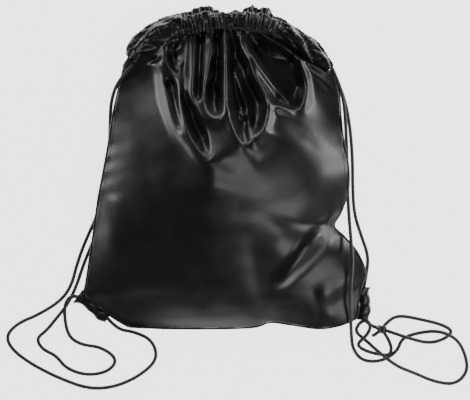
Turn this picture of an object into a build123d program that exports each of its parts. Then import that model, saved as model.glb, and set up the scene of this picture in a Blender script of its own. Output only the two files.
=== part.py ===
from build123d import *
import math
import os

# Drawstring backpack lying on its back: +Z up from the floor, +Y towards the
# mouth, +X to the right of someone who looks down on the front panel. All mm.

# Driving dimensions
CLOTH = 1.2                  # wall that stands for the coated cloth
SEAM_WIDTH = 3.2             # folded seam allowance outside the panels
SEAM_HALF_HEIGHT = 1.4
BOTTOM_SEAM_DEPTH = 4.0
PANEL_GAP = 0.1              # half of the gap between the two panels at a seam
FLOOR_TRIM = 0.3             # cut off the back panel to make its rest face flat
FLOOR_BLOCK = (500.0, 600.0, 10.0)
SIDE_ROLL = 48.0             # how far in the back panel reaches the floor
CORD_DIAMETER = 4.5
FLOOR_Z = 2.4                # centre height of a cord that lies on the floor

HEM_WIDTH = 22.0             # channel, across the cords
HEM_HEIGHT = 8.0
RUN_OFFSET = 4.3             # the two cords in a channel, each side of its middle
FRONT_HEM_Z = 21.5
BACK_HEM_Z = 4.2
BACK_HEM_SHIFT = 3.0         # the back hem stands a little beyond the front one
FLAP_Z = 21.0                # underside of the front panel's flap at the mouth
HINGE_Y = 127.0              # line the mouth's front lifts about
HINGE_GAP = 4.0              # from the hinge line to the flap's edge
FLAP_EDGE = ((116.0, HINGE_Y + HINGE_GAP), (-98.0, HINGE_Y + HINGE_GAP))
BACK_EDGE = ((92.0, 118.0), (-75.0, 118.0))  # where the back's top strip meets the panel
CORD_GAP = 4.5               # from the front channel's end to the cords outside it

STITCH_LENGTH = 2.8
STITCH_WIDTH = 0.6
STITCH_HEIGHT = 0.35
STITCH_PITCH = 5.0
BARTACK_WIDTH = 1.8
BARTACK_LENGTH = 11.0
BARTACK_INSET = 4.0          # from the channel's end
LOOP_STITCH_INSET = 5.0      # from a corner loop's end
LOOP_STITCHES = 4            # along a corner loop

TUNNEL_WIDTH = 14.0          # corner loop, across its cord
TUNNEL_HEIGHT = 11.0
TUNNEL_BORE_WIDTH = 8.4
TUNNEL_BORE_HEIGHT = 6.4
TUNNEL_Z = 6.0
LEFT_TUNNEL = ((-186.0, -163.0), (-150.0, -189.0))
RIGHT_TUNNEL = ((183.1, -152.0), (183.1, -190.0))

KNOT_CENTRE = (206.0, -204.0, 6.2)
KNOT_SIZE = (13.0, 11.0, 11.5)
BOW_START = (211.0, -205.7, 6.8)
BOW_END = (209.3, -200.4, 5.4)
INNER_END = (208.8, -207.9, 5.6)
TIED_MIDDLE = (187.5, -198.5, 3.6)
TIED_END = (200.8, -202.7, 5.4)
TAIL_ROUTE = ((202.8, -207.7, 5.0), (198.5, -211.5, 3.2), (194.5, -213.5, 2.6))

# The bag's cross sections: distance along Y, left edge, right edge, height of
# the side seams, height of the front panel's crown.
SECTIONS = (
    (-200.0, -116.5, 148.0, 8.0, 13.0),
    (-182.0, -141.5, 168.0, 11.0, 31.0),
    (-160.0, -172.0, 171.0, 13.0, 47.0),
    (-148.0, -172.0, 172.5, 15.0, 54.0),
    (-120.0, -170.0, 181.0, 19.0, 68.0),
    (-98.0, -168.0, 170.0, 23.0, 77.0),
    (-70.0, -165.0, 151.0, 27.0, 85.0),
    (-20.0, -157.0, 159.0, 30.0, 90.0),
    (40.0, -147.0, 156.0, 28.0, 80.0),
    (90.0, -137.0, 150.0, 21.0, 55.0),
    (123.0, -124.0, 141.0, 14.0, 27.0),
)

# Middle line of the mouth's channels, from the left end to the right end.
HEM_LINE = (
    (-117.0, 143.0),
    (-103.0, 167.0),
    (-66.0, 186.0),
    (5.0, 191.0),
    (70.0, 182.0),
    (113.0, 158.0),
    (134.0, 136.0),
)

# Routes of the free cords, from the channel or loop that each one leaves.
LEFT_OUTER_ROUTE = (
    (-134.0, 118.0, 17.0),
    (-144.5, 92.0, 8.0),
    (-146.0, 60.0, 3.0),
    (-147.0, 20.0, FLOOR_Z),
    (-153.0, -22.0, FLOOR_Z),
    (-163.0, -58.0, FLOOR_Z),
    (-178.0, -90.0, FLOOR_Z),
    (-189.0, -120.0, FLOOR_Z),
    (-196.0, -148.0, FLOOR_Z),
    (-210.0, -168.0, FLOOR_Z),
    (-239.0, -186.0, FLOOR_Z),
    (-266.0, -197.0, FLOOR_Z),
    (-282.0, -214.0, FLOOR_Z),
    (-272.0, -233.0, FLOOR_Z),
    (-245.0, -252.0, FLOOR_Z),
    (-211.0, -269.0, FLOOR_Z),
    (-172.0, -283.0, FLOOR_Z),
    (-136.0, -279.0, FLOOR_Z),
    (-104.0, -263.0, FLOOR_Z),
    (-84.0, -243.0, FLOOR_Z),
    (-91.0, -219.0, FLOOR_Z),
    (-115.0, -208.0, FLOOR_Z),
    (-137.0, -205.0, 3.2),
)
LEFT_INNER_ROUTE = (
    (-126.0, 118.0, FLOOR_Z),
    (-133.0, 92.0, FLOOR_Z),
    (-134.5, 58.0, FLOOR_Z),
    (-138.0, 18.0, FLOOR_Z),
    (-145.0, -23.0, FLOOR_Z),
    (-155.0, -60.0, FLOOR_Z),
    (-169.0, -93.0, FLOOR_Z),
    (-181.0, -122.0, FLOOR_Z),
    (-190.0, -150.0, FLOOR_Z),
    (-202.0, -174.0, FLOOR_Z),
    (-216.0, -191.0, FLOOR_Z),
    (-228.0, -206.0, FLOOR_Z),
    (-242.0, -217.0, FLOOR_Z),
    (-234.0, -231.0, FLOOR_Z),
    (-216.0, -239.0, FLOOR_Z),
    (-203.0, -256.0, FLOOR_Z),
    (-176.0, -265.0, FLOOR_Z),
    (-148.0, -260.0, FLOOR_Z),
    (-136.0, -244.0, FLOOR_Z),
    (-157.0, -228.0, FLOOR_Z),
    (-184.0, -225.0, FLOOR_Z),
    (-200.0, -214.0, FLOOR_Z),
    (-205.0, -192.0, FLOOR_Z),
    (-205.0, -172.0, 3.0),
    (-196.0, -160.0, 4.6),
)
RIGHT_OUTER_ROUTE = (
    (150.0, 116.0, 3.6),
    (160.0, 90.0, FLOOR_Z),
    (166.0, 55.0, FLOOR_Z),
    (169.0, 15.0, FLOOR_Z),
    (169.0, -22.0, FLOOR_Z),
    (171.0, -55.0, FLOOR_Z),
    (180.0, -83.0, FLOOR_Z),
    (189.0, -108.0, FLOOR_Z),
    (188.0, -128.0, 3.6),
)
RIGHT_INNER_ROUTE = (
    (149.0, 117.0, 17.0),
    (157.0, 92.0, 11.5),
    (160.0, 58.0, 6.0),
    (161.5, 18.0, 4.0),
    (162.0, -22.0, 7.0),
    (163.0, -56.0, 17.0),
    (164.5, -86.0, 33.0),
    (166.0, -116.0, 40.0),
    (164.0, -146.0, 34.0),
    (164.0, -172.0, 26.0),
    (165.5, -194.0, 17.0),
    (167.0, -212.0, 6.0),
    (169.0, -230.0, FLOOR_Z),
    (181.0, -246.0, FLOOR_Z),
    (206.0, -247.0, FLOOR_Z),
    (227.0, -234.0, FLOOR_Z),
    (233.0, -216.0, FLOOR_Z),
    (256.0, -209.0, FLOOR_Z),
    (280.0, -206.0, 10.5),
    (303.0, -216.0, 10.5),
    (315.0, -236.0, FLOOR_Z),
    (319.0, -260.0, FLOOR_Z),
    (302.0, -277.0, FLOOR_Z),
    (275.0, -273.0, FLOOR_Z),
    (248.0, -261.0, 4.5),
    (225.0, -252.0, 10.5),
    (199.0, -231.0, 10.5),
    (186.0, -219.0, 4.0),
    (172.0, -208.0, FLOOR_Z),
    (177.0, -196.0, 8.0),
    (187.0, -191.0, 17.0),
    (192.0, -202.0, 14.0),
    (185.0, -214.0, 10.5),
    (174.0, -224.0, 5.0),
    (183.0, -232.0, FLOOR_Z),
    (202.0, -237.5, FLOOR_Z),
    (219.0, -239.0, FLOOR_Z),
    (219.0, -222.0, FLOOR_Z),
)
RIGHT_BOW_ROUTE = (
    (221.0, -209.0, 10.0),
    (245.0, -217.0, 10.5),
    (268.0, -223.0, 4.0),
    (288.0, -218.0, FLOOR_Z),
    (300.0, -207.0, FLOOR_Z),
    (283.0, -198.0, FLOOR_Z),
    (257.0, -192.0, FLOOR_Z),
    (232.0, -187.0, FLOOR_Z),
    (218.0, -191.0, 3.4),
)

RADIUS = CORD_DIAMETER / 2


def rolled_line(section, inset, low):
    """The back panel's line: down from one seam, along the floor, up to the other."""
    y, left, right, seam_z = section[:4]
    top = seam_z - PANEL_GAP
    left_seam = Vector(left + inset, y, top)
    right_seam = Vector(right - inset, y, top)
    left_foot = Vector(left + SIDE_ROLL, y, low)
    right_foot = Vector(right - SIDE_ROLL, y, low)
    return [
        TangentArc(left_foot, left_seam, tangent=(-1, 0, 0)),
        Line(left_foot, right_foot),
        TangentArc(right_foot, right_seam, tangent=(1, 0, 0)),
    ]


def back_face(section):
    """One cross section of the back panel's cloth, a little of it under the floor."""
    y, left, right, seam_z = section[:4]
    top = seam_z - PANEL_GAP
    ends = [
        Line((left, y, top), (left + CLOTH, y, top)),
        Line((right, y, top), (right - CLOTH, y, top)),
    ]
    outer = rolled_line(section, 0.0, -FLOOR_TRIM)
    inner = rolled_line(section, CLOTH, CLOTH)
    return Face(Wire(outer + inner + ends))


def front_face(section):
    """One cross section of the front panel's cloth."""
    y, left, right, seam_z, crown = section
    low = seam_z + PANEL_GAP
    middle = (left + right) / 2
    outer = ThreePointArc((left, y, low), (middle, y, crown), (right, y, low))
    inner = ThreePointArc(
        (left + CLOTH, y, low), (middle, y, crown - CLOTH), (right - CLOTH, y, low)
    )
    ends = [
        Line((left, y, low), (left + CLOTH, y, low)),
        Line((right, y, low), (right - CLOTH, y, low)),
    ]
    return Face(Wire([outer, inner] + ends))


def seam_face(x_inner, x_outer, y, seam_z):
    """One cross section of a side seam's folded allowance."""
    low = seam_z - SEAM_HALF_HEIGHT
    high = seam_z + SEAM_HALF_HEIGHT
    corners = [(x_inner, low), (x_outer, low), (x_outer, high), (x_inner, high)]
    return Face(Wire.make_polygon([Vector(x, y, z) for x, z in corners], close=True))


def route_radii(points):
    """Largest tangent arcs: 0.45 of the shorter run at each corner."""
    radii = []
    at = [Vector(*point) for point in points]
    for before, corner, after in zip(at, at[1:], at[2:]):
        into = corner - before
        out = after - corner
        turn = math.radians(into.get_angle(out))
        radii.append(0.45 * min(into.length, out.length) / math.tan(turn / 2))
    return radii


def tube(name, points):
    """A round tube along straight runs joined by tangent arcs."""
    radii = route_radii(points)
    path = FilletPolyline(*points, radius=radii)
    start = Plane(origin=path @ 0, z_dir=path % 0)
    solid = sweep(start * Circle(RADIUS), path=path)
    expected = math.pi * RADIUS**2 * path.length
    tightest = ", ".join(str(round(r)) for r in sorted(radii)[:4])
    ratio = solid.volume / expected
    print(name, "length", round(path.length), "volume/expected", round(ratio, 3),
          "tightest radii", tightest)
    return solid


def hem_points(z, shift_y=0.0, inward=0.0):
    """The channel's corner points, moved sideways by inward towards the bag."""
    flat = [Vector(x, y) for x, y in HEM_LINE]
    moved = []
    for i, point in enumerate(flat):
        before = flat[max(i - 1, 0)]
        after = flat[min(i + 1, len(flat) - 1)]
        first = (point - before).normalized() if i else None
        second = (after - point).normalized() if i < len(flat) - 1 else None
        along = ((first or second) + (second or first)).normalized()
        side = Vector(along.Y, -along.X)
        half_turn = math.radians(along.get_angle(second or first))
        step = inward / math.cos(half_turn)
        moved.append(Vector(point.X + side.X * step, point.Y + side.Y * step + shift_y, z))
    return moved


def hem_path(z, shift_y=0.0, inward=0.0):
    """The channel's smooth line at one height."""
    points = hem_points(z, shift_y, inward)
    return FilletPolyline(*points, radius=route_radii([tuple(p) for p in points]))


def hem_sweep(z, shift_y, width, height):
    """A stadium section carried along the channel's line."""
    path = hem_path(z, shift_y)
    start = Plane(origin=path @ 0, x_dir=Vector(0, 0, 1).cross(path % 0), z_dir=path % 0)
    stadium = start * SlotOverall(width, height)
    return sweep(stadium, path=path)


def channel(z, shift_y):
    """A hem: the cloth turned over into a flat tube for the cords."""
    outside = hem_sweep(z, shift_y, HEM_WIDTH, HEM_HEIGHT)
    inside = hem_sweep(z, shift_y, HEM_WIDTH - 2 * CLOTH, HEM_HEIGHT - 2 * CLOTH)
    return outside - inside


def stitch(at, along):
    """One straight stitch that lies on top of a surface."""
    side = Vector(0, 0, 1).cross(along)
    plane = Plane(origin=at, x_dir=along, z_dir=Vector(along).cross(side))
    return plane * Box(STITCH_LENGTH, STITCH_WIDTH, STITCH_HEIGHT)


def stitch_row(path):
    """Stitches at an even pitch along a path."""
    count = int(path.length / STITCH_PITCH)
    row = []
    for i in range(count):
        where = (i + 0.5) / count
        row.append(stitch(path @ where, path % where))
    return Compound(children=row)


def loop_between(ends):
    """A corner loop: an oval cloth tube between two points of the floor plan."""
    start = Vector(*ends[0], TUNNEL_Z)
    along = Vector(*ends[1], TUNNEL_Z) - start
    plane = Plane(origin=start, x_dir=along.cross(Vector(0, 0, 1)), z_dir=along)
    outside = plane * Ellipse(TUNNEL_WIDTH / 2, TUNNEL_HEIGHT / 2)
    inside = plane * Ellipse(TUNNEL_BORE_WIDTH / 2, TUNNEL_BORE_HEIGHT / 2)
    return extrude(outside - inside, amount=along.length)


def loop_run(ends):
    """The stretch of cord inside a corner loop."""
    start = Vector(*ends[0], TUNNEL_Z)
    along = Vector(*ends[1], TUNNEL_Z) - start
    plane = Plane(origin=start, z_dir=along)
    return extrude(plane * Circle(RADIUS), amount=along.length)


def loop_stitching(ends):
    """Box stitching on top of a corner loop, across both of its ends."""
    start = Vector(*ends[0], 0)
    along = (Vector(*ends[1], 0) - start).normalized()
    length = (Vector(*ends[1], 0) - start).length
    across = Vector(0, 0, 1).cross(along)
    top = TUNNEL_Z + TUNNEL_HEIGHT / 2 + STITCH_HEIGHT
    rows = []
    for distance in (LOOP_STITCH_INSET, length - LOOP_STITCH_INSET):
        middle = start + along * distance + Vector(0, 0, top)
        rows.append(stitch(middle, across))
    between = length - 2 * LOOP_STITCH_INSET
    for i in range(LOOP_STITCHES):
        distance = LOOP_STITCH_INSET + between * (i + 0.5) / LOOP_STITCHES
        middle = start + along * distance + Vector(0, 0, top)
        rows.append(stitch(middle, along))
    return Compound(children=rows)


def bartack(end, z):
    """A dense bar of thread across the end of a channel."""
    points = hem_points(z)
    tip, inner = (points[0], points[1]) if end == 0 else (points[-1], points[-2])
    along = (inner - tip).normalized()
    at = tip + along * BARTACK_INSET + Vector(0, 0, HEM_HEIGHT / 2 + STITCH_HEIGHT / 2)
    plane = Plane(origin=at, x_dir=along, z_dir=Vector(0, 0, 1))
    return plane * Box(BARTACK_WIDTH, BARTACK_LENGTH, STITCH_HEIGHT)


def turn_round(end, inward):
    """The half circle where a cord turns from the front channel to the back."""
    front = hem_path(FRONT_HEM_Z, 0.0, inward)
    back = hem_path(BACK_HEM_Z, BACK_HEM_SHIFT, inward)
    top = front @ end
    out = (front % end) * (1 if end == 1 else -1)
    low = back @ end
    reach = (FRONT_HEM_Z - BACK_HEM_Z) / 2
    clear = out * CORD_GAP
    nose = (top + low) * 0.5 + out * reach + clear
    path = Wire([ThreePointArc(top + clear, nose, low + clear), Line(low + clear, low)])
    start = Plane(origin=top + clear, z_dir=out)
    return sweep(start * Circle(RADIUS), path=path)


def mouth_plate(z, shift_y, edge):
    """Cloth between the mouth's channel and a straight edge nearer the bottom."""
    line = [(p.X, p.Y) for p in hem_points(z, shift_y)]
    outline = Wire.make_polygon([Vector(x, y, z) for x, y in (*line, *edge)], close=True)
    return extrude(Face(outline), amount=CLOTH, dir=Vector(0, 0, 1))


os.makedirs("parts", exist_ok=True)
nodes = {}

# Panels and seams
below_floor = Pos(0, 0, -FLOOR_BLOCK[2] / 2) * Box(*FLOOR_BLOCK)
nodes["front_panel"] = Solid.make_loft([front_face(s).outer_wire() for s in SECTIONS], True)
back = Solid.make_loft([back_face(s).outer_wire() for s in SECTIONS], True)
back_hem_filled = hem_sweep(BACK_HEM_Z, BACK_HEM_SHIFT, HEM_WIDTH, HEM_HEIGHT)
back_plate = mouth_plate(0.0, BACK_HEM_SHIFT, BACK_EDGE)
nodes["back_panel"] = (back - below_floor) + (back_plate - back_hem_filled)

left_faces = []
right_faces = []
for y, left, right, seam_z in (section[:4] for section in SECTIONS):
    left_faces.append(seam_face(left, left - SEAM_WIDTH, y, seam_z).outer_wire())
    right_faces.append(seam_face(right, right + SEAM_WIDTH, y, seam_z).outer_wire())
nodes["left_side_seam"] = Solid.make_loft(left_faces, True)
nodes["right_side_seam"] = Solid.make_loft(right_faces, True)

y, left, right, seam_z, crown = SECTIONS[0]
lens = rolled_line(SECTIONS[0], 0.0, -FLOOR_TRIM)
lens.append(Line((left, y, seam_z - PANEL_GAP), (left, y, seam_z)))
lens.append(ThreePointArc((left, y, seam_z), ((left + right) / 2, y, crown), (right, y, seam_z)))
lens.append(Line((right, y, seam_z), (right, y, seam_z - PANEL_GAP)))
bottom = extrude(Face(Wire(lens)), amount=BOTTOM_SEAM_DEPTH, dir=Vector(0, -1, 0))
nodes["bottom_seam"] = bottom - below_floor

# Mouth: back channel on the bag, front channel and flap on the moving front
nodes["back_hem"] = channel(BACK_HEM_Z, BACK_HEM_SHIFT)
nodes["front_hem"] = channel(FRONT_HEM_Z, 0.0)
flap = mouth_plate(FLAP_Z, 0.0, FLAP_EDGE)
nodes["front_mouth_flap"] = flap - hem_sweep(FRONT_HEM_Z, 0.0, HEM_WIDTH, HEM_HEIGHT)

# Stitching
stitch_lift = HEM_HEIGHT / 2 + STITCH_HEIGHT / 2
flat_inset = (HEM_WIDTH - HEM_HEIGHT) / 2 - STITCH_WIDTH
nodes["front_hem_stitching"] = stitch_row(hem_path(FRONT_HEM_Z + stitch_lift, 0.0, flat_inset))
nodes["back_hem_stitching"] = stitch_row(
    hem_path(BACK_HEM_Z + stitch_lift, BACK_HEM_SHIFT, flat_inset)
)
seam_lift = SEAM_HALF_HEIGHT + 2 * STITCH_HEIGHT
for side, sign, column in (("left", -1, 1), ("right", 1, 2)):
    rows = []
    for low, high in zip(SECTIONS, SECTIONS[1:]):
        ends = [
            Vector(s[column] + sign * SEAM_WIDTH / 2, s[0], s[3] + seam_lift) for s in (low, high)
        ]
        rows.append(stitch_row(Line(*ends)))
    nodes[side + "_side_stitching"] = Compound(children=[s for row in rows for s in row.solids()])

# Corner loops
for side, ends in (("left", LEFT_TUNNEL), ("right", RIGHT_TUNNEL)):
    nodes[side + "_corner_loop"] = loop_between(ends)
    nodes[side + "_corner_loop_stitching"] = loop_stitching(ends)
    nodes[side + "_cord_loop_run"] = loop_run(ends)
for side, end in (("left", 0), ("right", 1)):
    nodes[side + "_front_bartack"] = bartack(end, FRONT_HEM_Z)

# Cords in the channels: the left cord nearer the bag, the right cord outside it
for side, inward, far_end in (("left", RUN_OFFSET, 1), ("right", -RUN_OFFSET, 0)):
    front = hem_path(FRONT_HEM_Z, 0.0, inward)
    back_line = hem_path(BACK_HEM_Z, BACK_HEM_SHIFT, inward)
    for place, path in (("front", front), ("back", back_line)):
        start = Plane(origin=path @ 0, z_dir=path % 0)
        nodes[f"{side}_cord_{place}_run"] = sweep(start * Circle(RADIUS), path=path)
    nodes[side + "_cord_turn"] = turn_round(far_end, inward)

# Free cords
left_line = hem_path(FRONT_HEM_Z, 0.0, RUN_OFFSET)
right_line = hem_path(FRONT_HEM_Z, 0.0, -RUN_OFFSET)
front_left = tuple(left_line @ 0 - left_line % 0 * CORD_GAP)
back_left = tuple(hem_path(BACK_HEM_Z, BACK_HEM_SHIFT, RUN_OFFSET) @ 0)
front_right = tuple(right_line @ 1 + right_line % 1 * CORD_GAP)
back_right = tuple(hem_path(BACK_HEM_Z, BACK_HEM_SHIFT, -RUN_OFFSET) @ 1)
left_upper = (*LEFT_TUNNEL[0], TUNNEL_Z)
left_lower = (*LEFT_TUNNEL[1], TUNNEL_Z)
right_upper = (*RIGHT_TUNNEL[0], TUNNEL_Z)
right_lower = (*RIGHT_TUNNEL[1], TUNNEL_Z)
free_cords = {
    "left_cord_outer_strand": (front_left, *LEFT_OUTER_ROUTE, left_lower),
    "left_cord_inner_strand": (back_left, *LEFT_INNER_ROUTE, left_upper),
    "right_cord_outer_strand": (back_right, *RIGHT_OUTER_ROUTE, right_upper),
    "right_cord_inner_strand": (front_right, *RIGHT_INNER_ROUTE, INNER_END),
    "right_cord_tied_end": (right_lower, TIED_MIDDLE, TIED_END),
    "right_cord_bow_loop": (BOW_START, *RIGHT_BOW_ROUTE, BOW_END),
}
for name, points in free_cords.items():
    nodes[name] = tube(name, points)
nodes["right_cord_knot"] = Pos(*KNOT_CENTRE) * scale(Sphere(0.5), by=KNOT_SIZE)
nodes["right_cord_tail"] = tube("right_cord_tail", TAIL_ROUTE)

for name, shape in nodes.items():
    shape.label = name
    export_step(shape, f"parts/{name}.step")
loose = (*free_cords, "right_cord_knot", "right_cord_tail")
bag_box = Compound(children=[s for n, s in nodes.items() if n not in loose]).bounding_box()
print("bag box", bag_box.min, bag_box.max)
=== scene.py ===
import math

import bpy
import numpy as np
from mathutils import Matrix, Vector


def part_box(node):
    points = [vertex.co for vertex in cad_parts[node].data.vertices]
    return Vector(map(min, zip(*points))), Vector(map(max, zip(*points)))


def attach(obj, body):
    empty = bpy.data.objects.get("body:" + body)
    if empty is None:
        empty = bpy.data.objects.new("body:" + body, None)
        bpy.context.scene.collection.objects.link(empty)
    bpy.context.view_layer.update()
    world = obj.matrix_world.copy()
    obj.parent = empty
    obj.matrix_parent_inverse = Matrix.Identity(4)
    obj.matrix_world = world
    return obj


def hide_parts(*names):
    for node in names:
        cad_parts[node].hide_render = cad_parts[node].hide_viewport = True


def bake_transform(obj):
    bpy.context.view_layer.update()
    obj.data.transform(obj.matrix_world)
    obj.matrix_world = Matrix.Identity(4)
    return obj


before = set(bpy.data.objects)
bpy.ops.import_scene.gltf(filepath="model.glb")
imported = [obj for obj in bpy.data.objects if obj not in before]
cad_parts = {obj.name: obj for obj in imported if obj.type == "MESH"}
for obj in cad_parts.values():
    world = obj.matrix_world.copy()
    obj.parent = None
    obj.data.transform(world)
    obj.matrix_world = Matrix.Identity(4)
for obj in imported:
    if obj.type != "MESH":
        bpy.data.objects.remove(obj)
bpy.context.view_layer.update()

MM = 0.001

# ---------------------------------------------------------------- sizes, from the frame
HEM_LOW, HEM_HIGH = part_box("front_hem")
BACK_HEM_LOW, BACK_HEM_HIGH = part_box("back_hem")
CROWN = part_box("front_panel")[1].z / MM
FRONT_HEM_Z = (HEM_LOW.z + HEM_HIGH.z) / 2 / MM
BACK_HEM_Z = (BACK_HEM_LOW.z + BACK_HEM_HIGH.z) / 2 / MM
LOOP_LOW, LOOP_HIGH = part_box("left_corner_loop")
LOOP_Z = (LOOP_LOW.z + LOOP_HIGH.z) / 2 / MM
CLOTH_THICKNESS = 0.5        # shown thickness, with the coating and the turned edge
CORD_D = 4.5
FLOOR_Z = 2.4                # middle of a cord that lies on the floor

# The lines below are in millimetres on the floor plan, in the frame's own axes.
LEFT_EDGE = (
    (-121, -201), (-135, -193), (-148, -184), (-165, -171), (-178, -159), (-176, -146),
    (-171, -115), (-166, -85),
    (-159, -37), (-152, 0), (-145, 40), (-138, 85), (-129, 125), (-124, 140),
)
RIGHT_EDGE = (
    (172, -191), (175.5, -182), (175.5, -165), (179, -148), (184, -130), (173, -104), (156, -84),
    (143, -70), (152, -52), (161, -24), (161, 8), (155, 40), (152, 70), (150, 100),
    (144, 124),
)
BOTTOM_EDGE = (
    (-121, -201), (-70, -203), (0, -203), (42, -201), (62, -195), (88, -198), (125, -203),
    (152, -199), (172, -191),
)
STITCH_LINE = (
    (-124, 140), (-112, 150), (-96, 160), (-76, 170), (-54, 178), (-28, 184), (0, 187),
    (30, 188), (58, 183), (86, 169), (109, 152), (129, 136), (144, 124),
)
HEM_LINE = (
    (-119, 146), (-108, 162), (-92, 174), (-66, 186), (-30, 191), (5, 193), (40, 192),
    (68, 184), (92, 171), (114, 155), (128, 141), (137, 131),
)
# Height of the front panel's crown and of the side seams, against the distance along Y.
CROWN_LINE = (
    (-203, 10), (-182, 29), (-160, 45), (-120, 66), (-70, 82), (-20, 0.97 * CROWN), (40, 79),
    (90, 60), (123, 44), (150, 33), (186, 24),
)
SEAM_LINE = ((-203, 8), (-182, 11), (-160, 13), (-120, 18), (-70, 26), (-20, 29), (40, 27),
             (90, 20), (123, 16), (140, 20))

# Routes of the free cords, the same points as the solid model's.
LEFT_OUTER_ROUTE = (
    (-115.6, 136.9, 21.5), (-134, 118, 17), (-144.5, 92, 8), (-146, 60, 3),
    (-147, 20, FLOOR_Z), (-153, -22, FLOOR_Z), (-163, -58, FLOOR_Z), (-178, -90, FLOOR_Z),
    (-189, -120, FLOOR_Z), (-196, -148, FLOOR_Z), (-210, -168, FLOOR_Z),
    (-239, -186, FLOOR_Z), (-266, -197, FLOOR_Z), (-282, -214, FLOOR_Z),
    (-272, -233, FLOOR_Z), (-245, -252, FLOOR_Z), (-211, -269, FLOOR_Z),
    (-172, -283, FLOOR_Z), (-136, -279, FLOOR_Z), (-104, -263, FLOOR_Z),
    (-84, -243, FLOOR_Z), (-91, -219, FLOOR_Z), (-115, -208, FLOOR_Z), (-137, -205, 3.2),
    (-150, -189, 6),
)
LEFT_INNER_ROUTE = (
    (-113.3, 144, 4.2), (-126, 118, FLOOR_Z), (-133, 92, FLOOR_Z), (-134.5, 58, FLOOR_Z),
    (-138, 18, FLOOR_Z), (-145, -23, FLOOR_Z), (-155, -60, FLOOR_Z), (-169, -93, FLOOR_Z),
    (-181, -122, FLOOR_Z), (-190, -150, FLOOR_Z), (-202, -174, FLOOR_Z),
    (-216, -191, FLOOR_Z), (-228, -206, FLOOR_Z), (-242, -217, FLOOR_Z),
    (-234, -231, FLOOR_Z), (-216, -239, FLOOR_Z), (-203, -256, FLOOR_Z),
    (-176, -265, FLOOR_Z), (-148, -260, FLOOR_Z), (-136, -244, FLOOR_Z),
    (-157, -228, FLOOR_Z), (-184, -225, FLOOR_Z), (-200, -214, FLOOR_Z),
    (-205, -192, FLOOR_Z), (-205, -172, 3), (-196, -160, 4.6), (-186, -163, 6),
)
RIGHT_OUTER_ROUTE = (
    (137.1, 142, 4.2), (150, 116, 3.6), (160, 90, FLOOR_Z), (166, 55, FLOOR_Z),
    (169, 15, FLOOR_Z), (169, -22, FLOOR_Z), (171, -55, FLOOR_Z), (180, -83, FLOOR_Z),
    (189, -108, FLOOR_Z), (188, -128, 3.6), (183.1, -152, 6),
)
RIGHT_INNER_ROUTE = (
    (139.9, 135.3, 21.5), (149, 117, 17), (157, 92, 11.5), (160, 58, 6), (161.5, 18, 4),
    (162, -22, 7), (163, -56, 17), (164.5, -86, 33), (166, -116, 40), (164, -146, 34),
    (164, -172, 26), (165.5, -194, 17), (167, -212, 6), (169, -230, FLOOR_Z),
    (181, -246, FLOOR_Z), (206, -247, FLOOR_Z), (227, -234, FLOOR_Z), (233, -216, FLOOR_Z),
    (256, -209, FLOOR_Z), (280, -206, 10.5), (303, -216, 10.5), (315, -236, FLOOR_Z),
    (319, -260, FLOOR_Z), (302, -277, FLOOR_Z), (275, -273, FLOOR_Z), (248, -261, 4.5),
    (225, -252, 10.5), (199, -231, 10.5), (186, -219, 4), (172, -208, FLOOR_Z),
    (177, -196, 8), (187, -191, 17), (192, -202, 14), (185, -214, 10.5), (174, -224, 5),
    (183, -232, FLOOR_Z), (202, -237.5, FLOOR_Z), (219, -239, FLOOR_Z),
    (219, -222, FLOOR_Z), (208.8, -207.9, 5.6),
)
RIGHT_TIED_ROUTE = ((183.1, -190, 6), (187.5, -198.5, 3.6), (200.8, -202.7, 5.4))
RIGHT_BOW_ROUTE = (
    (211, -205.7, 6.8), (221, -209, 10), (245, -217, 10.5), (268, -223, 4),
    (288, -218, FLOOR_Z), (300, -207, FLOOR_Z), (283, -198, FLOOR_Z), (257, -192, FLOOR_Z),
    (232, -187, FLOOR_Z), (218, -191, 3.4), (209.3, -200.4, 5.4),
)
TAIL_ROUTE = ((202.8, -207.7, 5), (198.5, -211.5, 3.2), (194.5, -213.5, 2.6))


# ---------------------------------------------------------------- small helpers
def smooth_line(points, count):
    """Points at an even spacing along a smooth curve through the given ones."""
    at = np.array(points, float)
    ends = np.vstack([2 * at[0] - at[1], at, 2 * at[-1] - at[-2]])
    fine = []
    for i in range(len(at) - 1):
        p0, p1, p2, p3 = ends[i:i + 4]
        t = np.linspace(0, 1, 24, endpoint=False)[:, None]
        fine.append(0.5 * (2 * p1 + (p2 - p0) * t + (2 * p0 - 5 * p1 + 4 * p2 - p3) * t**2
                           + (3 * p1 - p0 - 3 * p2 + p3) * t**3))
    fine = np.vstack(fine + [at[-1:]])
    return even_line(fine, count)


def even_line(points, count):
    """The same line with points at an even spacing."""
    steps = np.linalg.norm(np.diff(points, axis=0), axis=1)
    along = np.concatenate([[0], np.cumsum(steps)])
    where = np.linspace(0, along[-1], count)
    return np.stack([np.interp(where, along, points[:, k]) for k in range(points.shape[1])], 1)


def curve_value(table, x):
    """A smooth value read from a short table of pairs."""
    line = smooth_line(table, 200)
    return np.interp(x, line[:, 0], line[:, 1])


def hump(x, low, high, soft):
    """1 between low and high, falling smoothly to 0 outside over soft."""
    rise = np.clip((x - low) / soft + 0.5, 0, 1)
    fall = np.clip((high - x) / soft + 0.5, 0, 1)
    return (rise * rise * (3 - 2 * rise)) * (fall * fall * (3 - 2 * fall))


def to_line(xy, line):
    """Distance of each point to a polyline, and how far along it the nearest place is, 0 to 1."""
    pts = np.array(line, float)
    best = np.full(xy.shape[:-1], 1e9)
    along = np.zeros_like(best)
    lengths = np.linalg.norm(np.diff(pts, axis=0), axis=1)
    total = lengths.sum()
    done = 0.0
    for a, b, length in zip(pts, pts[1:], lengths):
        d = (b - a) / length
        rel = xy - a
        t = np.clip(rel @ d, 0, length)
        dist = np.linalg.norm(rel - t[..., None] * d, axis=-1)
        closer = dist < best
        best = np.where(closer, dist, best)
        along = np.where(closer, (done + t) / total, along)
        done += length
    return best, along


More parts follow.
